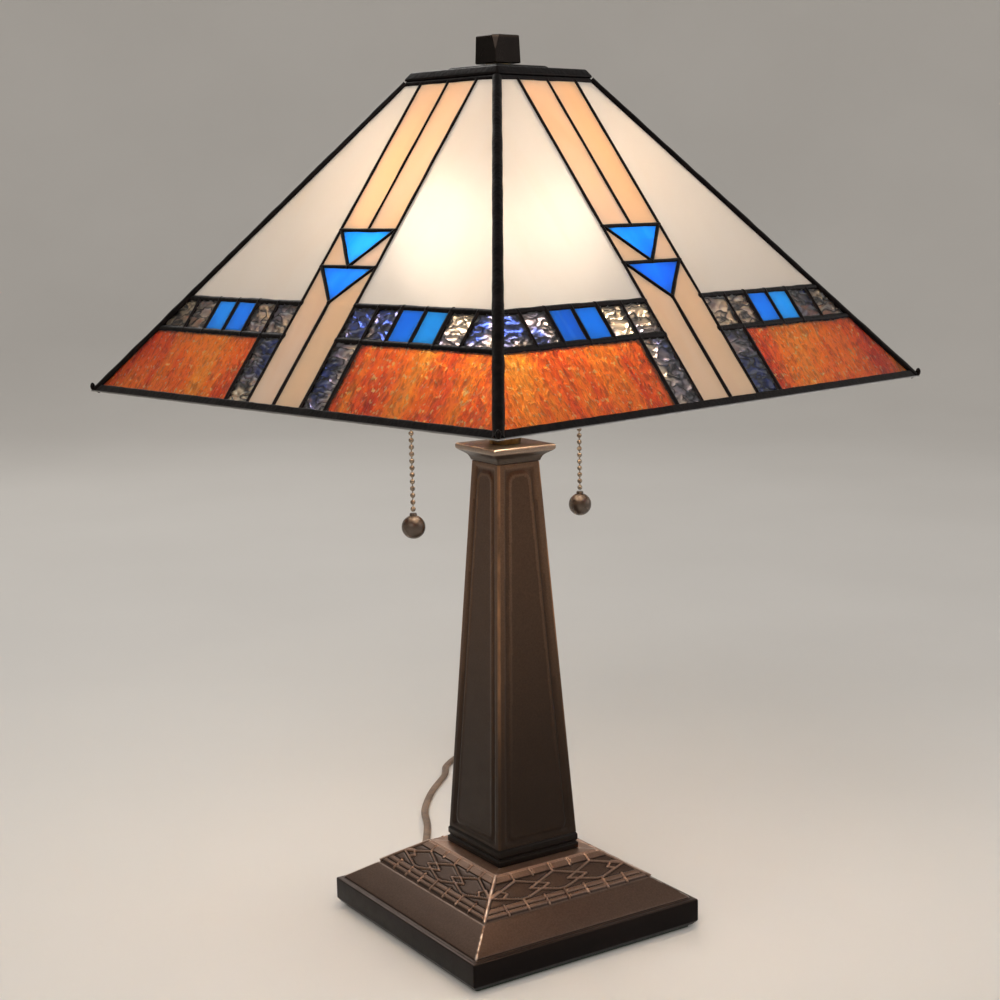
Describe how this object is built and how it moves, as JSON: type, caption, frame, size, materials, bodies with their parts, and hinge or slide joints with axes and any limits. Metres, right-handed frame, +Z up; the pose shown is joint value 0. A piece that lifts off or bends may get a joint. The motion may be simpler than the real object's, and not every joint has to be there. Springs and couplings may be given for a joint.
{
  "type": "stained glass table lamp",
  "caption": "Square leaded-glass table lamp: opal, blue and amber panes, tapered bronze column, stepped base, pull-chain sockets and a flat cord.",
  "frame": {"origin": "centre of the underside of the base, on the surface the lamp stands on", "axes": "+Z up along the column; -Y is the front of the base; the cord leaves the back of the base towards +Y; the shade rests turned 10.9 degrees about +Z"},
  "size_m": [0.4501, 0.5519, 0.544],
  "materials": {
    "felt": "matt green felt",
    "base_bronze": "brown bronze patina with copper-rubbed relief, satin",
    "column_bronze": "dark bronze patina, edges rubbed to copper, satin",
    "steel": "zinc-plated",
    "brass": "turned, satin",
    "socket_brass": "spun, satin",
    "insulator": "pale fibre liner",
    "bulb_metal": "rolled thread",
    "bulb_glass": "frosted",
    "chain_brass": "darkened",
    "chain_knob_bronze": "dark bronze, semi-gloss",
    "lead_came": "near-black patina, semi-gloss solder",
    "opal_glass": "opalescent cream and beige, gloss",
    "blue_glass": "blue and grey opalescent, gloss",
    "amber_glass": "amber and red, rippled, gloss",
    "cord_jacket": "translucent brown vinyl",
    "plug_plastic": "moulded brown"
  },
  "bodies": {
    "base": {"felt_pad": "felt", "base_casting": "base_bronze", "column_foot": "column_bronze", "column_shaft": "column_bronze", "column_cap": "column_bronze", "lamp_pipe": "steel", "pipe_washer": "steel", "pipe_nut": "brass", "cord_bushing": "cord_jacket", "supply_lead": "cord_jacket", "cord": "cord_jacket", "cord_coil": "cord_jacket", "plug_body": "plug_plastic", "plug_blade_left": "brass", "plug_blade_right": "brass", "cluster_body": "brass", "left_arm": "brass", "right_arm": "brass", "shade_stem": "steel", "seat_nut": "brass", "left_socket_cap": "socket_brass", "left_socket_shell": "socket_brass", "left_socket_core": "insulator", "left_chain_spout": "socket_brass", "right_socket_cap": "socket_brass", "right_socket_shell": "socket_brass", "right_socket_core": "insulator", "right_chain_spout": "socket_brass"},
    "shade_seat": {"shade_seat": "brass"},
    "shade": {"crown_plate": "lead_came", "crown_cap": "lead_came", "rim_came": "lead_came", "hip_came_rear_right": "lead_came", "hip_came_rear_left": "lead_came", "hip_came_front_left": "lead_came", "hip_came_front_right": "lead_came", "upper_glass_front": "opal_glass", "border_glass_front": "blue_glass", "lower_glass_front": "amber_glass", "upper_glass_right": "opal_glass", "border_glass_right": "blue_glass", "lower_glass_right": "amber_glass", "upper_glass_rear": "opal_glass", "border_glass_rear": "blue_glass", "lower_glass_rear": "amber_glass", "upper_glass_left": "opal_glass", "border_glass_left": "blue_glass", "lower_glass_left": "amber_glass"},
    "finial_washer": {"finial_washer": "brass"},
    "finial": {"finial": "column_bronze"},
    "left_chain_lead": {"left_chain_lead": "chain_brass"},
    "left_chain": {"left_pull_chain": "chain_brass", "left_chain_knob": "chain_knob_bronze"},
    "left_bulb": {"left_bulb_base": "bulb_metal", "left_bulb_glass": "bulb_glass"},
    "right_chain_lead": {"right_chain_lead": "chain_brass"},
    "right_chain": {"right_pull_chain": "chain_brass", "right_chain_knob": "chain_knob_bronze"},
    "right_bulb": {"right_bulb_base": "bulb_metal", "right_bulb_glass": "bulb_glass"}
  },
  "joints": [
    {"name": "shade_turn", "type": "hinge", "parent": "base", "child": "shade_seat", "pos_m": [0, 0, 0.5175], "axis": [0, 0, 1], "continuous": true},
    {"name": "shade_lift", "type": "slide", "parent": "shade_seat", "child": "shade", "axis": [0, 0, 1], "range_m": [0, 0.04]},
    {"name": "finial_rise", "type": "slide", "parent": "shade", "child": "finial_washer", "axis": [0, 0, 1], "range_m": [0, 0.0094]},
    {"name": "finial_turn", "type": "hinge", "parent": "finial_washer", "child": "finial", "pos_m": [0, 0, 0.5278], "axis": [0, 0, 1], "range_deg": [0, 3600]},
    {"name": "left_chain_pull", "type": "slide", "parent": "base", "child": "left_chain_lead", "axis": [0, 0, -1], "range_m": [0, 0.012], "stiffness_N_per_m": 250, "springref_m": -0.002},
    {"name": "left_chain_swing", "type": "hinge", "parent": "left_chain_lead", "child": "left_chain", "pos_m": [-0.0613, 0.008, 0.3375], "axis": [0, 1, 0], "range_deg": [-15, 15]},
    {"name": "left_bulb_turn", "type": "hinge", "parent": "base", "child": "left_bulb", "pos_m": [-0.034, 0, 0.326], "axis": [-0.0523, 0, 0.9986], "range_deg": [0, 1260]},
    {"name": "right_chain_pull", "type": "slide", "parent": "base", "child": "right_chain_lead", "axis": [0, 0, -1], "range_m": [0, 0.012], "stiffness_N_per_m": 250, "springref_m": -0.002},
    {"name": "right_chain_swing", "type": "hinge", "parent": "right_chain_lead", "child": "right_chain", "pos_m": [0.0613, 0.008, 0.3375], "axis": [0, 1, 0], "range_deg": [-15, 15]},
    {"name": "right_bulb_turn", "type": "hinge", "parent": "base", "child": "right_bulb", "pos_m": [0.034, 0, 0.326], "axis": [0.0523, 0, 0.9986], "range_deg": [0, 1260]}
  ],
  "couplings": [
    {"joint": "finial_rise", "follows": "finial_turn", "m_per_rad": 0.0001496}
  ]
}
